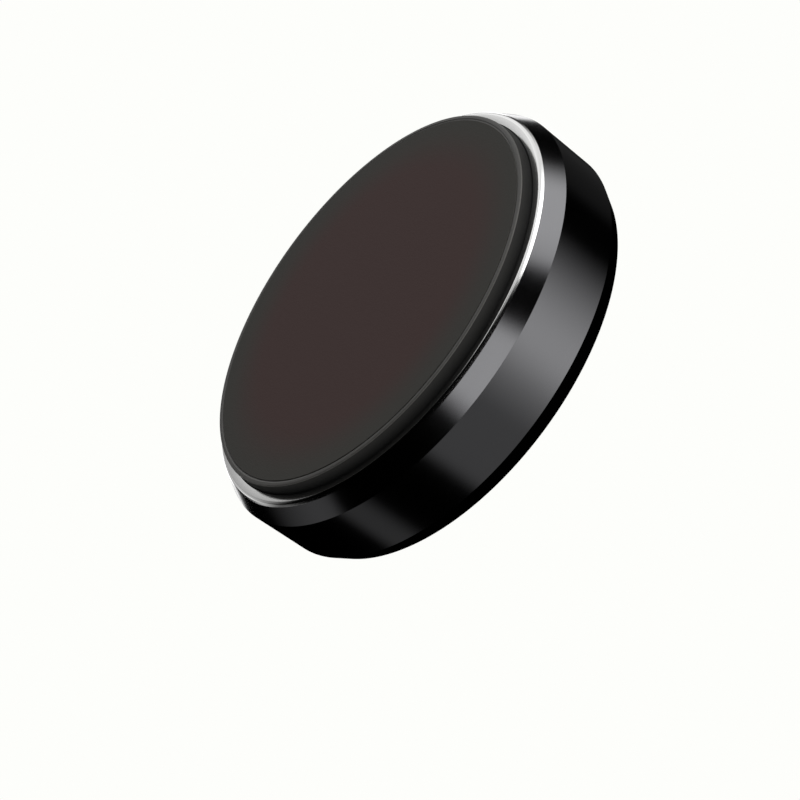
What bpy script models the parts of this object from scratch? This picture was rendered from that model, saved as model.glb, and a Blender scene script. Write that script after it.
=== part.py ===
"""Round magnetic phone mount for a dashboard: a turned aluminium cup holding seven disc magnets in a
moulded carrier on a steel plate, closed by a silicone face pad and stuck down by a foam tape disc.

Metres, +Z out of the pad. The origin is the centre of the foam tape's face, which lies on the dashboard.
"""

import math

import bpy

# Magnets: one in the middle and a ring of the same discs around it
MAGNET_DIAMETER = 0.0075
MAGNET_THICKNESS = 0.0030
MAGNET_EDGE = 0.00025
MAGNET_SPACING = 0.0009
RING_MAGNETS = 6

# Magnet carrier, moulded, with a blind pocket for each magnet
CARRIER_WALL = 0.0011
CARRIER_WEB = 0.0003
POCKET_CLEARANCE = 0.00005

# Steel plate behind the magnets
PLATE_THICKNESS = 0.0010
PLATE_EDGE = 0.00015

# Housing, turned from one aluminium bar
BORE_CLEARANCE = 0.00005
HOUSING_WALL = 0.0027
FLOOR_THICKNESS = 0.0008
MOUTH_DEPTH = 0.001045
LEDGE_WIDTH = 0.00043
CROWN_WIDTH = 0.00037
CROWN_DROP = 0.000205
FRONT_CHAMFER_DEPTH = 0.00072
FRONT_CHAMFER_HEIGHT = 0.001245
REAR_CHAMFER_DEPTH = 0.00057
REAR_CHAMFER_HEIGHT = 0.001295
REAR_LAND_WIDTH = 0.00183
EDGE_BREAK = 0.0001

# Face pad, moulded silicone, and the film that bonds it down
PAD_THICKNESS = 0.00165
PAD_CLEARANCE = 0.00005
PAD_DRAFT = 0.00011
PAD_EDGE_RADIUS = 0.0001
TAPE_THICKNESS = 0.00015
TAPE_CLEARANCE = 0.00025

# Foam tape disc that sticks the mount down
FOAM_THICKNESS = 0.0008
FOAM_PROUD = 0.00015
FOAM_CLEARANCE = 0.0002

# Glue between stacked pieces
GLUE_LINE = 0.00005

# Heights of the stack, from the dashboard up
floor_bottom = FOAM_THICKNESS + GLUE_LINE
floor_top = floor_bottom + FLOOR_THICKNESS
plate_bottom = floor_top + GLUE_LINE
plate_top = plate_bottom + PLATE_THICKNESS
magnet_bottom = plate_top + GLUE_LINE
magnet_top = magnet_bottom + MAGNET_THICKNESS
pocket_top = magnet_top + GLUE_LINE
carrier_top = pocket_top + CARRIER_WEB
tape_bottom = carrier_top + GLUE_LINE
tape_top = tape_bottom + TAPE_THICKNESS
pad_bottom = tape_top + GLUE_LINE
pad_top = pad_bottom + PAD_THICKNESS
ledge_height = carrier_top + MOUTH_DEPTH
rim_height = ledge_height - CROWN_DROP
rear_face = FOAM_PROUD

# Radii, from the middle out: the ring clears both the middle magnet and its own neighbours
ring_radius = (MAGNET_DIAMETER + MAGNET_SPACING) * max(1.0, 0.5 / math.sin(math.pi / RING_MAGNETS))
carrier_radius = ring_radius + MAGNET_DIAMETER / 2 + CARRIER_WALL
bore_radius = carrier_radius + BORE_CLEARANCE
housing_radius = bore_radius + HOUSING_WALL
rim_radius = housing_radius - FRONT_CHAMFER_DEPTH
ledge_radius = rim_radius - CROWN_WIDTH
mouth_radius = ledge_radius - LEDGE_WIDTH
rear_radius = housing_radius - REAR_CHAMFER_DEPTH
recess_radius = rear_radius - REAR_LAND_WIDTH
pad_radius = mouth_radius - PAD_CLEARANCE
tape_radius = mouth_radius - TAPE_CLEARANCE
foam_radius = recess_radius - FOAM_CLEARANCE

# Facets round a full turn and across a rounded edge, and the angle from which an edge is drawn sharp
TURN_FACETS = 96
MAGNET_FACETS = 36
EDGE_FACETS = 2
PAD_EDGE_FACETS = 4
CROWN_FACETS = 5
SHARP_ANGLE = math.radians(20)
SCREW_MERGE = 1e-6


def clear_scene():
    for obj in list(bpy.data.objects):
        bpy.data.objects.remove(obj, do_unlink=True)


def new_collection(name):
    collection = bpy.data.collections.new(name)
    bpy.context.scene.collection.children.link(collection)
    return collection


def new_material(name, colour, roughness, metallic):
    material = bpy.data.materials.new(name)
    material.use_nodes = True
    shader = material.node_tree.nodes["Principled BSDF"]
    shader.inputs["Base Color"].default_value = (*colour, 1.0)
    shader.inputs["Roughness"].default_value = roughness
    shader.inputs["Metallic"].default_value = metallic
    return material


def place(obj, name, collection, material=None):
    """Names an object and its mesh, and moves it to its collection."""
    obj.name = obj.data.name = name
    for old in list(obj.users_collection):
        old.objects.unlink(obj)
    collection.objects.link(obj)
    if material:
        obj.data.materials.append(material)
    return obj


def smooth(mesh):
    mesh.shade_smooth()
    mesh.set_sharp_from_angle(angle=SHARP_ANGLE)


def turned(name, profile, collection, material):
    """A turned piece: the (radius, height) profile, which runs down its outer side, swept round Z."""
    outline = bpy.data.meshes.new(name)
    points = [(radius, 0, height) for radius, height in profile]
    outline.from_pydata(points, [(i, i + 1) for i in range(len(points) - 1)], [])
    swept = bpy.data.objects.new(name, outline)
    collection.objects.link(swept)
    screw = swept.modifiers.new("Turn", "SCREW")
    screw.steps = screw.render_steps = TURN_FACETS
    screw.use_merge_vertices = True
    screw.merge_threshold = SCREW_MERGE
    graph = bpy.context.evaluated_depsgraph_get()
    mesh = bpy.data.meshes.new_from_object(swept.evaluated_get(graph))
    bpy.data.objects.remove(swept)
    bpy.data.meshes.remove(outline)
    smooth(mesh)
    return place(bpy.data.objects.new(name, mesh), name, collection, material)


def disc(name, radius, bottom, top, collection, material=None, middle=(0, 0), facets=TURN_FACETS):
    """A flat disc between two heights, round the (x, y) point given by middle."""
    centre = (*middle, (bottom + top) / 2)
    bpy.ops.mesh.primitive_cylinder_add(vertices=facets, radius=radius, depth=top - bottom, location=centre)
    obj = place(bpy.context.object, name, collection, material)
    smooth(obj.data)
    return obj


def bevel(obj, width):
    modifier = obj.modifiers.new("Edge", "BEVEL")
    modifier.width = width
    modifier.segments = EDGE_FACETS
    modifier.limit_method = "ANGLE"


def corner_arc(radius, height, corner_radius, start, end, facets):
    """Points of a rounded corner about the centre (radius, height), from one angle to another."""
    turn = (end - start) / facets
    angles = [start + turn * i for i in range(facets + 1)]
    return [(radius + corner_radius * math.cos(a), height + corner_radius * math.sin(a)) for a in angles]


def housing(collection):
    """The cup: bore and pad seat inside, crowned ledge and chamfers outside, tape recess in its floor."""
    crown_radius = (CROWN_WIDTH ** 2 + CROWN_DROP ** 2) / (2 * CROWN_DROP)
    crown_end = math.pi / 2 - math.asin(CROWN_WIDTH / crown_radius)
    crown_centre = (ledge_radius, ledge_height - crown_radius)
    profile = [
        (0, floor_top),
        (bore_radius, floor_top),
        (bore_radius, carrier_top),
        (mouth_radius, carrier_top),
        (mouth_radius, ledge_height),
        *corner_arc(*crown_centre, crown_radius, math.pi / 2, crown_end, CROWN_FACETS),
        (housing_radius, rim_height - FRONT_CHAMFER_HEIGHT),
        (housing_radius, rear_face + REAR_CHAMFER_HEIGHT),
        (rear_radius, rear_face + EDGE_BREAK),
        (rear_radius - EDGE_BREAK, rear_face),
        (recess_radius + EDGE_BREAK, rear_face),
        (recess_radius, rear_face + EDGE_BREAK),
        (recess_radius, floor_bottom),
        (0, floor_bottom),
    ]
    anodised = new_material("black_anodised", (0.012, 0.012, 0.013), 0.22, 1.0)
    return turned("housing", profile, collection, anodised)


def face_pad(collection):
    """The pad: flat top, rounded edge and drafted side, and a straight foot that sits in the mouth."""
    edge_centre = (pad_radius - PAD_DRAFT - PAD_EDGE_RADIUS, pad_top - PAD_EDGE_RADIUS)
    profile = [
        (0, pad_top),
        *corner_arc(*edge_centre, PAD_EDGE_RADIUS, math.pi / 2, 0, PAD_EDGE_FACETS),
        (pad_radius, ledge_height),
        (pad_radius, pad_bottom),
        (0, pad_bottom),
    ]
    silicone = new_material("black_silicone", (0.045, 0.033, 0.031), 0.75, 0.0)
    return turned("face_pad", profile, collection, silicone)


def pad_tape(collection):
    film = new_material("adhesive_film", (0.80, 0.78, 0.70), 0.45, 0.0)
    return disc("pad_tape", tape_radius, tape_bottom, tape_top, collection, film)


def mounting_tape(collection):
    foam = new_material("foam_tape", (0.06, 0.06, 0.062), 0.9, 0.0)
    return disc("mounting_tape", foam_radius, 0, FOAM_THICKNESS, collection, foam)


def steel_plate(collection):
    zinc = new_material("zinc_plated_steel", (0.62, 0.63, 0.64), 0.35, 1.0)
    plate = disc("steel_plate", carrier_radius, plate_bottom, plate_top, collection, zinc)
    bevel(plate, PLATE_EDGE)
    return plate


def magnet_places():
    """(name, (x, y)) of each magnet: the middle one, then the ring."""
    places = [("centre_magnet", (0, 0))]
    for i in range(RING_MAGNETS):
        angle = 2 * math.pi * i / RING_MAGNETS
        middle = (ring_radius * math.cos(angle), ring_radius * math.sin(angle))
        places.append((f"ring_magnet_{i + 1}", middle))
    return places


def magnets(collection):
    nickel = new_material("nickel_plate", (0.72, 0.70, 0.66), 0.2, 1.0)
    radius = MAGNET_DIAMETER / 2
    made = []
    for name, middle in magnet_places():
        magnet = disc(name, radius, magnet_bottom, magnet_top, collection, nickel, middle, MAGNET_FACETS)
        bevel(magnet, MAGNET_EDGE)
        made.append(magnet)
    return made


def magnet_carrier(collection, cutters):
    """The carrier: a disc with a pocket for each magnet. The cutters start below its open face."""
    plastic = new_material("grey_plastic", (0.16, 0.16, 0.17), 0.5, 0.0)
    carrier = disc("magnet_carrier", carrier_radius, magnet_bottom, carrier_top, collection, plastic)
    pocket_radius = MAGNET_DIAMETER / 2 + POCKET_CLEARANCE
    for name, middle in magnet_places():
        heights = (plate_bottom, pocket_top)
        cutter = disc(f"{name}_pocket", pocket_radius, *heights, cutters, None, middle, MAGNET_FACETS)
        cutter.hide_render = True
        cutter.display_type = "WIRE"
    cut = carrier.modifiers.new("Pockets", "BOOLEAN")
    cut.operation = "DIFFERENCE"
    cut.operand_type = "COLLECTION"
    cut.collection = cutters
    return carrier


def main():
    clear_scene()
    parts = new_collection("magnetic_phone_mount")
    cutters = new_collection("cutters")
    made = [
        housing(parts),
        steel_plate(parts),
        *magnets(parts),
        magnet_carrier(parts, cutters),
        pad_tape(parts),
        face_pad(parts),
        mounting_tape(parts),
    ]
    root = bpy.data.objects.new("mount_origin", None)
    root.empty_display_size = housing_radius
    parts.objects.link(root)
    for obj in made:
        obj.parent = root


main()
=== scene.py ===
"""Looks of a round magnetic phone mount: a black anodised cup with a bare cut rim, and its soft pad.

Metres, +Z out of the pad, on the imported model's own frame.
"""

import math

import bmesh
import bpy
from mathutils import Matrix, Vector


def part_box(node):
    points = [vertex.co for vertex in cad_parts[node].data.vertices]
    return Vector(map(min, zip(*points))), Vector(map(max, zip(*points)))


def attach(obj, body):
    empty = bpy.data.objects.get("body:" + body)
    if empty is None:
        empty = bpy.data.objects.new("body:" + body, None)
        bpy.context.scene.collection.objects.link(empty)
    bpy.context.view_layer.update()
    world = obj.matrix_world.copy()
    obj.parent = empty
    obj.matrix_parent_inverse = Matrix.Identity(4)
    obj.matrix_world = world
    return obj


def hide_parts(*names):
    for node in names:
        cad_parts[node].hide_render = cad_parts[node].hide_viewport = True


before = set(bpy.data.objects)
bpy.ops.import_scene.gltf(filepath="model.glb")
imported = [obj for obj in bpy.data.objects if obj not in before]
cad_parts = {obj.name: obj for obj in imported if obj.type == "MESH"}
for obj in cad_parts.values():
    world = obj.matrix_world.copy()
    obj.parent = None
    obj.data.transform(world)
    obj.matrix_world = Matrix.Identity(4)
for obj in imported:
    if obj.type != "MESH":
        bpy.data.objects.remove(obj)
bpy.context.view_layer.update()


# Housing
# The cup is turned from one aluminium bar and anodised glossy black all over. Its rim is then cut
# again with a diamond tool, which leaves a bare ledge, a hair hollow, with a crown round it.
housing_low, housing_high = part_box("housing")
HOUSING_RADIUS = housing_high.x
HOUSING_TOP = housing_high.z
HOUSING_REAR = housing_low.z
FRONT_CHAMFER = (0.00072, 0.001245)
REAR_CHAMFER = (0.00057, 0.001295)
RIM_WIDTH = 0.0008
LEDGE_DISH = (0.00048, 0.000035)
CROWN_DROP = 0.000205
CROWN_SLOPE = math.radians(49)
CROWN_ROUND = 0.00028
RIM_ROUND = 0.00006
REAR_LAND = 0.00183
EDGE_ROUND = 0.00004
EDGE_BREAK = 0.0001
GLUE_LINE = 0.00005
TURN_STEPS = 288
ROUND_STEPS = 8
ANODISE_BLACK = (0.11, 0.11, 0.114)
CUT_ALUMINIUM = (0.90, 0.90, 0.89)


class Wire:
    """An output socket in a node tree. Sums written on it add Math nodes, and node() any other."""

    def __init__(self, tree, socket=None):
        self.tree = tree
        self.socket = socket

    def node(self, kind, settings, inputs, output=0):
        made = self.tree.nodes.new(kind)
        for name, value in settings.items():
            setattr(made, name, value)
        for name, value in inputs.items():
            if isinstance(value, Wire):
                self.tree.links.new(value.socket, made.inputs[name])
            else:
                made.inputs[name].default_value = value
        return Wire(self.tree, made.outputs[output])

    def maths(self, operation, *terms):
        return self.node("ShaderNodeMath", {"operation": operation}, dict(enumerate(terms)))

    def __add__(self, other):
        return self.maths("ADD", self, other)

    def __sub__(self, other):
        return self.maths("SUBTRACT", self, other)

    def __rsub__(self, other):
        return self.maths("SUBTRACT", other, self)

    def __mul__(self, other):
        return self.maths("MULTIPLY", self, other)

    def __truediv__(self, other):
        return self.maths("DIVIDE", self, other)

    __radd__ = __add__
    __rmul__ = __mul__


def new_finish(name, constants):
    """A material and its shader, with what is the same all over set on the shader's own sockets."""
    material = bpy.data.materials.new(name)
    material.use_nodes = True
    shader = material.node_tree.nodes["Principled BSDF"]
    for socket, value in constants.items():
        shader.inputs[socket].default_value = value
    return material, shader


def feed(node, inputs):
    """Links what varies over the surface to a shader's or an output's own sockets."""
    for socket, wire in inputs.items():
        wire.tree.links.new(wire.socket, node.inputs[socket])


def spot(material):
    """The shaded point, in metres from the piece's own origin."""
    return Wire(material.node_tree).node("ShaderNodeTexCoord", {}, {}, "Object")


def scaled(position, factors):
    """A point with each of its coordinates times a factor."""
    return position.node("ShaderNodeVectorMath", {"operation": "MULTIPLY"}, {0: position, 1: factors})


def off_axis(position):
    """How far a point is from the piece's axis."""
    across = scaled(position, (1, 1, 0))
    return across.node("ShaderNodeVectorMath", {"operation": "LENGTH"}, {0: across}, "Value")


def height_of(position):
    """How high a point is on the piece's axis."""
    return position.node("ShaderNodeSeparateXYZ", {}, {0: position}, "Z")


def tool_marks(position, pitch):
    """A ring-shaped noise, from 0 to 1, as the lathe tool leaves it along any turned profile."""
    feed_line = (off_axis(position) - height_of(position)) / pitch
    inputs = {"W": feed_line, "Scale": 1.0, "Detail": 2.0}
    return position.node("ShaderNodeTexNoise", {"noise_dimensions": "1D"}, inputs)


def noise(position, scale, detail):
    """A cloudy noise, from 0 to 1, with that many patches in a metre."""
    inputs = {"Vector": position, "Scale": scale, "Detail": detail}
    return position.node("ShaderNodeTexNoise", {}, inputs)


def blend(factor, first, second):
    """A colour between two, by a factor that varies over the surface. Each is plain, or a Wire."""
    ends = [end if isinstance(end, Wire) else (*end, 1) for end in (first, second)]
    colours = {"Factor": factor, "A": ends[0], "B": ends[1]}
    return factor.node("ShaderNodeMix", {"data_type": "RGBA"}, colours, "Result")


def relief(height, strength, depth):
    """The normal of a surface roughened by that height, from 0 to 1, times a depth in metres."""
    return height.node("ShaderNodeBump", {}, {"Height": height, "Strength": strength, "Distance": depth})


def rounded(corners):
    """A (radius, height) outline whose corners, given as (radius, height, rounding), are arcs."""
    outline = []
    for i, (radius, height, rounding) in enumerate(corners):
        here = Vector((radius, height))
        if rounding == 0:
            outline.append(here)
            continue
        to_last = (Vector(corners[i - 1][:2]) - here).normalized()
        to_next = (Vector(corners[i + 1][:2]) - here).normalized()
        half = to_last.angle(to_next) / 2
        middle = here + (to_last + to_next).normalized() * rounding / math.sin(half)
        start = here + to_last * rounding / math.tan(half) - middle
        end = here + to_next * rounding / math.tan(half) - middle
        sweep = start.angle_signed(end)
        for k in range(ROUND_STEPS + 1):
            outline.append(middle + Matrix.Rotation(-sweep * k / ROUND_STEPS, 2) @ start)
    return outline


def turned(name, outline, materials, material_of=lambda radius, height: 0):
    """A turned piece: the outline swept round Z, with each strip's material chosen by its middle."""
    shape = bmesh.new()
    angles = [2 * math.pi * k / TURN_STEPS for k in range(TURN_STEPS)]
    rings = []
    for radius, height in outline:
        if radius == 0:
            rings.append([shape.verts.new((0, 0, height))] * TURN_STEPS)
        else:
            points = [(radius * math.cos(a), radius * math.sin(a), height) for a in angles]
            rings.append([shape.verts.new(point) for point in points])
    for (upper, lower), (above, below) in zip(zip(rings, rings[1:]), zip(outline, outline[1:])):
        kind = material_of(*((above + below) / 2))
        for k in range(TURN_STEPS):
            corners = (upper[k - 1], lower[k - 1], lower[k], upper[k])
            face = shape.faces.new(list(dict.fromkeys(corners)))
            face.material_index = kind
            face.smooth = True
    mesh = bpy.data.meshes.new(name)
    shape.to_mesh(mesh)
    shape.free()
    for material in materials:
        mesh.materials.append(material)
    piece = bpy.data.objects.new(name, mesh)
    bpy.context.scene.collection.objects.link(piece)
    piece.modifiers.new("Level faces", "WEIGHTED_NORMAL").weight = 100
    return piece


anodised, shader = new_finish("black_anodised_aluminium", {
    "Metallic": 1.0, "Base Color": (*ANODISE_BLACK, 1),
})
position = spot(anodised)
marks = tool_marks(position, pitch=0.00003)
feed(shader, {
    "Roughness": 0.11 + 0.04 * marks + 0.03 * noise(position, scale=900.0, detail=3.0),
    "Normal": relief(marks, strength=0.05, depth=0.00001),
})

bare, shader = new_finish("diamond_cut_aluminium", {
    "Metallic": 1.0, "Base Color": (*CUT_ALUMINIUM, 1), "Anisotropic": 0.6, "Anisotropic Rotation": 0.25,
})
marks = tool_marks(spot(bare), pitch=0.00002)
feed(shader, {
    "Roughness": 0.10 + 0.05 * marks,
    "Normal": relief(marks, strength=0.1, depth=0.00001),
})

rim_radius = HOUSING_RADIUS - FRONT_CHAMFER[0]
rim_height = HOUSING_TOP - CROWN_DROP
mouth_radius = rim_radius - RIM_WIDTH
crown_corner = rim_radius - CROWN_DROP / math.tan(CROWN_SLOPE)
bore_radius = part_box("steel_plate")[1].x + GLUE_LINE
shelf_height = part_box("magnet_carrier")[1].z
floor_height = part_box("steel_plate")[0].z - GLUE_LINE
rear_radius = HOUSING_RADIUS - REAR_CHAMFER[0]
recess_radius = rear_radius - REAR_LAND
recess_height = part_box("mounting_tape")[1].z + GLUE_LINE
cup_outline = rounded([
    (0, floor_height, 0),
    (bore_radius, floor_height, 0),
    (bore_radius, shelf_height, EDGE_ROUND),
    (mouth_radius, shelf_height, 0),
    (mouth_radius, HOUSING_TOP - LEDGE_DISH[1], EDGE_ROUND / 2),
    (mouth_radius + LEDGE_DISH[0], HOUSING_TOP, 0),
    (crown_corner, HOUSING_TOP, CROWN_ROUND),
    (rim_radius, rim_height, RIM_ROUND),
    (HOUSING_RADIUS, rim_height - FRONT_CHAMFER[1], EDGE_ROUND),
    (HOUSING_RADIUS, HOUSING_REAR + REAR_CHAMFER[1], EDGE_ROUND),
    (rear_radius, HOUSING_REAR + EDGE_BREAK, EDGE_ROUND),
    (rear_radius - EDGE_BREAK, HOUSING_REAR, EDGE_ROUND),
    (recess_radius + EDGE_BREAK, HOUSING_REAR, EDGE_ROUND),
    (recess_radius, HOUSING_REAR + EDGE_BREAK, EDGE_ROUND),
    (recess_radius, recess_height, 0),
    (0, recess_height, 0),
])
cup = turned(
    "housing_cup", cup_outline, [anodised, bare],
    lambda radius, height: int(height > rim_height and mouth_radius < radius < rim_radius),
)
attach(cup, "root")
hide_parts("housing")


# Steel plate
# A disc blanked from zinc-plated steel sheet closes the magnets' field behind them. It is glued to
# the cup's floor, and tumbling has rounded its edges. The sheet still shows the way it was rolled.
PLATE_EDGE = 0.00015
ROLLED_STRETCH = (300, 9000, 300)
ZINC_LIGHT = (0.66, 0.67, 0.68)
ZINC_DULL = (0.52, 0.54, 0.56)


def disc(name, node, edge, material):
    """A round disc with rounded edges that fills a node's box and stands for it."""
    low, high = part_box(node)
    radius = (high.x - low.x) / 2
    half = (high.z - low.z) / 2
    corners = [(0, half, 0), (radius, half, edge), (radius, -half, edge), (0, -half, 0)]
    piece = turned(name, rounded(corners), [material])
    piece.location = (low + high) / 2
    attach(piece, "root")
    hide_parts(node)
    return piece


zinc, shader = new_finish("zinc_plated_steel", {"Metallic": 1.0})
position = spot(zinc)
streaks = noise(scaled(position, ROLLED_STRETCH), scale=1.0, detail=4.0)
feed(shader, {
    "Base Color": blend(noise(position, scale=500.0, detail=2.0), ZINC_LIGHT, ZINC_DULL),
    "Roughness": 0.3 + 0.2 * streaks,
    "Normal": relief(streaks, strength=0.1, depth=0.00002),
})
plate = disc("zinc_steel_plate", "steel_plate", PLATE_EDGE, zinc)


# Magnets
# Seven equal neodymium discs, nickel plated, stand in the carrier's pockets: one in the middle and
# six round it. The bright plate is slightly uneven and follows the discs' tumbled edges.
MAGNET_EDGE = 0.00025
NICKEL_BRIGHT = (0.74, 0.72, 0.68)
NICKEL_WARM = (0.66, 0.63, 0.57)

nickel, shader = new_finish("bright_nickel_plate", {"Metallic": 1.0})
uneven = noise(spot(nickel), scale=1800.0, detail=3.0)
feed(shader, {
    "Base Color": blend(uneven, NICKEL_BRIGHT, NICKEL_WARM),
    "Roughness": 0.12 + 0.12 * uneven,
    "Normal": relief(uneven, strength=0.15, depth=0.00002),
})
for node in sorted(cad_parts):
    if "_magnet" in node:
        magnet = disc(f"{node}_disc", node, MAGNET_EDGE, nickel)


# Magnet carrier
# One moulded disc of grey plastic with a blind pocket for each magnet. Its skin has the fine, even
# spark texture of the mould, and pales a little where the melt flowed round the pockets.
CARRIER_GREY = (0.155, 0.155, 0.165)
CARRIER_PALE = (0.19, 0.19, 0.20)

plastic, shader = new_finish("moulded_grey_plastic", {"Specular IOR Level": 0.5})
position = spot(plastic)
spark = noise(position, scale=12000.0, detail=2.0)
feed(shader, {
    "Base Color": blend(noise(position, scale=350.0, detail=2.0), CARRIER_GREY, CARRIER_PALE),
    "Roughness": 0.45 + 0.12 * spark,
    "Normal": relief(spark, strength=0.2, depth=0.00001),
})
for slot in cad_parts["magnet_carrier"].material_slots:
    slot.material = plastic


# Pad film
# A disc punched from double-sided film bonds the pad to the carrier and to the cup's shelf. It is
# cream coloured and satin, a little mottled by its glue.
FILM_EDGE = 0.00002
FILM_CREAM = (0.80, 0.78, 0.70)
FILM_GLUE = (0.70, 0.67, 0.56)

film, shader = new_finish("adhesive_film", {"Specular IOR Level": 0.45})
mottled = noise(spot(film), scale=1500.0, detail=5.0)
feed(shader, {
    "Base Color": blend(mottled, FILM_CREAM, FILM_GLUE),
    "Roughness": 0.35 + 0.2 * mottled,
    "Normal": relief(mottled, strength=0.15, depth=0.00001),
})
bond = disc("pad_bonding_film", "pad_tape", FILM_EDGE, film)


# Face pad
# The pad is moulded in black silicone: a flat matt face, a fine groove round it, a narrow smooth
# border, and a drafted side whose foot sits in the housing's mouth. Its face is painted browner in
# the middle and greyer towards its edge.
pad_low, pad_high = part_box("face_pad")
PAD_RADIUS = pad_high.x
PAD_TOP = pad_high.z
PAD_FOOT = pad_low.z
PAD_DRAFT = 0.00011
FACE_RADIUS = 0.01392
FACE_ROUND = 0.00003
GROOVE_WIDTH = 0.00014
GROOVE_DEPTH = 0.00008
BORDER_ROUND = 0.0001
GREYING = (0.0098, 0.0138)
# How far below the top the painted shade on the side fades out.
SIDE_SHADE_ENDS_BELOW_TOP = 0.0002
SILICONE_BROWN = (0.090, 0.059, 0.056)
SILICONE_GREY = (0.073, 0.071, 0.065)
# Painted shade: the side's colour at its top and, darker still, at its foot.
SILICONE_SIDE_SHADE = (0.029, 0.0285, 0.0275)
SILICONE_FOOT_SHADE = (0.011, 0.011, 0.011)
# Painted highlight: the border's lighter colour.
SILICONE_BORDER_HIGHLIGHT = (0.11, 0.107, 0.102)


def rise(value, start, end, shape="LINEAR"):
    """0 up to where the value reaches the start, and 1 from the end on."""
    limits = {"Value": value, "From Min": start, "From Max": end}
    return value.node("ShaderNodeMapRange", {"interpolation_type": shape}, limits)


def cells(position, scale):
    """Round cells, from 0 in their middles to 1 between them, with that many in a metre."""
    inputs = {"Vector": position, "Scale": scale}
    return position.node("ShaderNodeTexVoronoi", {"feature": "SMOOTH_F1"}, inputs)


silicone, shader = new_finish("black_silicone", {"Specular IOR Level": 0.06})
position = spot(silicone)
height = height_of(position)
grain = noise(position, scale=9000.0, detail=3.0)
# The side is painted darker than the face, and darker still down to its foot at the cup: painted shade.
side_shade_fade = rise(height, HOUSING_TOP, PAD_TOP - SIDE_SHADE_ENDS_BELOW_TOP)
# Down in the groove's lower half the face fades to the side's darker colour: painted shade in the
# groove.
on_face = rise(height, PAD_TOP - GROOVE_DEPTH, PAD_TOP - GROOVE_DEPTH / 2)
side = blend(side_shade_fade, SILICONE_FOOT_SHADE, SILICONE_SIDE_SHADE)
face = blend(rise(off_axis(position), *GREYING, "SMOOTHSTEP"), SILICONE_BROWN, SILICONE_GREY)
feed(shader, {
    "Base Color": blend(on_face, side, face),
    "Roughness": 0.55 + 0.12 * grain,
    "Normal": relief(grain + 0.6 * cells(position, scale=6000.0), strength=0.35, depth=0.00002),
})

smooth_silicone, shader = new_finish("smooth_black_silicone", {"Specular IOR Level": 0.25})
grain = noise(spot(smooth_silicone), scale=9000.0, detail=3.0)
feed(shader, {
    # The border is painted lighter than the face: a painted highlight along its rounded edge.
    "Base Color": blend(grain, SILICONE_GREY, SILICONE_BORDER_HIGHLIGHT),
    "Roughness": 0.33 + 0.1 * grain,
    "Normal": relief(grain, strength=0.2, depth=0.00002),
})

pad_outline = rounded([
    (0, PAD_TOP, 0),
    (FACE_RADIUS, PAD_TOP, FACE_ROUND),
    (FACE_RADIUS, PAD_TOP - GROOVE_DEPTH, 0),
    (FACE_RADIUS + GROOVE_WIDTH, PAD_TOP, BORDER_ROUND - FACE_ROUND),
    (PAD_RADIUS - PAD_DRAFT, PAD_TOP, BORDER_ROUND),
    (PAD_RADIUS, HOUSING_TOP, 0),
    (PAD_RADIUS, PAD_FOOT, 0),
    (0, PAD_FOOT, 0),
])
pad = turned(
    "soft_face_pad", pad_outline, [silicone, smooth_silicone],
    lambda radius, height: int(radius > FACE_RADIUS and height > PAD_TOP - BORDER_ROUND),
)
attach(pad, "root")
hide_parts("face_pad")


# Mounting tape
# A disc punched from black foam tape fills the recess in the cup's floor and stands a little proud
# of it. Its faces carry the glue, which makes them smoother and glossier than the cut edge.
tape_low, tape_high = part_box("mounting_tape")
TAPE_HALF = (tape_high.z - tape_low.z) / 2
TAPE_EDGE = 0.00006
FOAM_BLACK = (0.045, 0.045, 0.047)
FOAM_GREY = (0.075, 0.075, 0.077)

foam, shader = new_finish("black_foam_tape", {"Specular IOR Level": 0.4})
position = spot(foam)
foam_cells = cells(position, scale=7000.0)
glued = rise(position.maths("ABSOLUTE", height_of(position)), TAPE_HALF - TAPE_EDGE, TAPE_HALF)
feed(shader, {
    "Base Color": blend(foam_cells, FOAM_BLACK, FOAM_GREY),
    "Roughness": 0.85 - 0.45 * glued + 0.1 * foam_cells,
    "Normal": relief(foam_cells, strength=0.4, depth=0.00004),
})
tape = disc("foam_mounting_disc", "mounting_tape", TAPE_EDGE, foam)


# Camera
# It looks down on the mount from its near side, and is rolled, so the mount stands aslant in the
# square picture. It is aimed by the pixel that the middle of the pad's face falls on.
ELEVATION = math.radians(28.6176)
ROLL = math.radians(-54.6237)
DISTANCE = 0.14037
LENS = 96.058
SENSOR = 36
CLIP = (0.01, 50)
PICTURE = 800
PAD_CENTRE_PIXEL = (362.85, 295.93)

camera = bpy.data.objects.new("camera", bpy.data.cameras.new("camera"))
bpy.context.scene.collection.objects.link(camera)
bpy.context.scene.camera = camera
camera.data.lens = LENS
camera.data.sensor_width = SENSOR
camera.data.clip_start, camera.data.clip_end = CLIP
turn = Matrix.Rotation(math.pi / 2 - ELEVATION, 3, "X") @ Matrix.Rotation(ROLL, 3, "Z")
pixel = DISTANCE * SENSOR / LENS / PICTURE
aim = Vector((
    (PAD_CENTRE_PIXEL[0] - PICTURE / 2) * pixel,
    (PICTURE / 2 - PAD_CENTRE_PIXEL[1]) * pixel,
    -DISTANCE,
))
camera.matrix_world = Matrix.Translation(Vector((0, 0, PAD_TOP)) - turn @ aim) @ turn.to_4x4()


# Studio
# The mount lies on a plain white floor in soft light. The floor glows an even near-white, as the
# photograph shows it, and is left out of what the glossy housing mirrors. Soft boxes stand all round
# instead.
FLOOR_RADIUS = 3.0
FLOOR_STEPS = 96
FLOOR_WHITE = (0.985, 0.99, 0.965)

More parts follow.
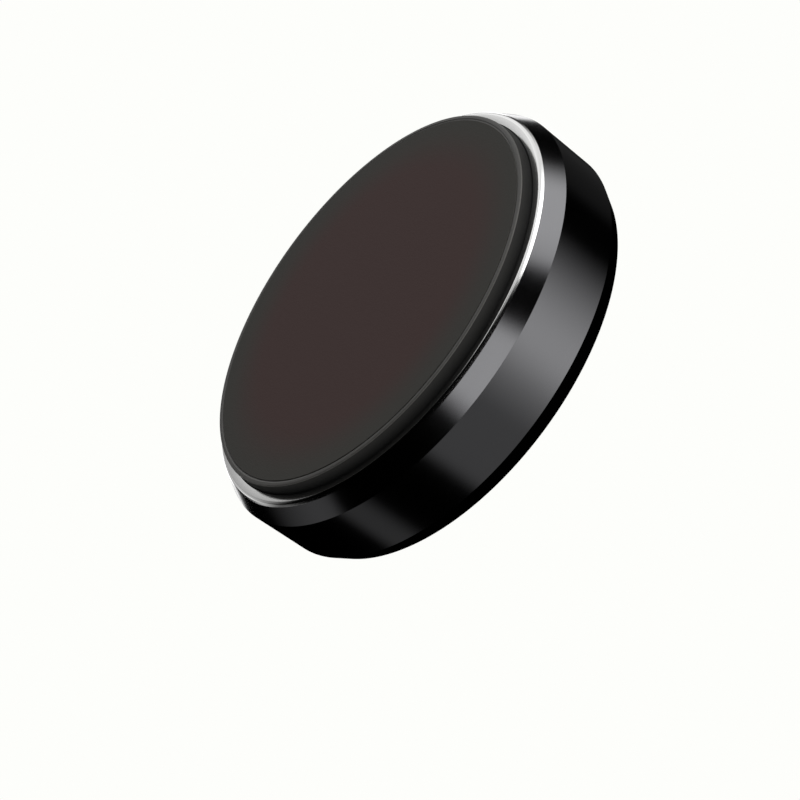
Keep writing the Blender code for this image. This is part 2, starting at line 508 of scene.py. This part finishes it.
floor_shape = bmesh.new()
bmesh.ops.create_circle(floor_shape, cap_ends=True, segments=FLOOR_STEPS, radius=FLOOR_RADIUS)
floor_mesh = bpy.data.meshes.new("floor")
floor_shape.to_mesh(floor_mesh)
floor_shape.free()
floor = bpy.data.objects.new("floor", floor_mesh)
bpy.context.scene.collection.objects.link(floor)
floor_paint = new_finish("floor_white", {
    "Base Color": (0, 0, 0, 1), "Roughness": 1.0, "Specular IOR Level": 0.0,
    "Emission Color": (*FLOOR_WHITE, 1), "Emission Strength": 1.0,
})[0]
floor.data.materials.append(floor_paint)
floor.visible_glossy = False
floor.visible_shadow = False

world = bpy.data.worlds.new("studio")
bpy.context.scene.world = world
world.use_nodes = True
world.node_tree.nodes.clear()
sky = Wire(world.node_tree)
direction = sky.node("ShaderNodeTexCoord", {}, {}, "Generated")
east, north, up = (sky.node("ShaderNodeSeparateXYZ", {}, {0: direction}, axis) for axis in "XYZ")
azimuth = sky.maths("ARCTAN2", north, east)
elevation = sky.maths("ARCSINE", up)


def band(angle, limits):
    """1 between the two inner limits, in degrees, fading to 0 at the two outer ones."""
    starts, full, still_full, ends = map(math.radians, limits)
    return rise(angle, starts, full, "SMOOTHSTEP") * rise(angle, ends, still_full, "SMOOTHSTEP")


def soft_box(azimuths, heights, strength):
    """The light of a box between four azimuths and four heights: starts, full, still full, ends."""
    middle = (azimuths[1] + azimuths[2]) / 2
    swung = sky.maths("WRAP", azimuth - math.radians(middle), math.pi, -math.pi)
    return band(swung, [limit - middle for limit in azimuths]) * band(elevation, heights) * strength


# Azimuths and heights in degrees, and strength. The camera's azimuth is -90.
SOFT_BOXES = (
    # For the front chamfer: in front, at the right, and a weak one at the left
    ((-115, -99, -69, -57), (4, 12, 34, 41), 2.3),
    ((-36, -25, 9, 28), (-8, 2, 40, 52), 1.8),
    ((130, 168, 172, 180), (-10, 0, 12, 20), 0.31),
    # For the upright wall, which mirrors what is below the horizon
    ((-100, -60, -59, -2), (-60, -44, -16, -6), 1.9),
    ((-138, -129, -96, -76), (-60, -44, -16, -6), 0.36),
    ((164, 174, 180, 192), (-50, -40, -24, -14), 0.19),
    ((15, 30, 60, 80), (-37, -31, -16, -6), 0.035),
    # For the bare rim: large ones at the right, and small ones at the far side
    ((-40, -10, 35, 62), (1, 10, 62, 77), 0.76),
    ((35, 62, 76, 93), (-4, 6, 54, 68), 0.86),
    ((66, 80, 92, 99), (8, 16, 28, 38), 0.17),
    ((78, 92, 100, 112), (-2, 6, 25, 33), 0.28),
    ((96, 108, 114, 134), (-2, 4, 22, 36), 0.42),
    ((108, 120, 129, 144), (0, 5, 13, 20), 0.5),
    # For the two ends of the outline, whose chamfer mirrors the far side at a grazing angle
    ((61, 68, 103, 112), (-26, -21, -12, -6), 1.6),
    ((98, 104, 108, 115), (-18, -12, -6, 0), 1.0),
)
light = sum(soft_box(*box) for box in SOFT_BOXES)
seen = sky.node("ShaderNodeLightPath", {}, {}, "Is Camera Ray")
lit = sky.node("ShaderNodeBackground", {}, {"Color": light})
plain = sky.node("ShaderNodeBackground", {}, {"Color": (*FLOOR_WHITE, 1)})
mixed = sky.node("ShaderNodeMixShader", {}, {0: seen, 1: lit, 2: plain})
feed(world.node_tree.nodes.new("ShaderNodeOutputWorld"), {"Surface": mixed})

bpy.context.scene.view_settings.view_transform = "Standard"
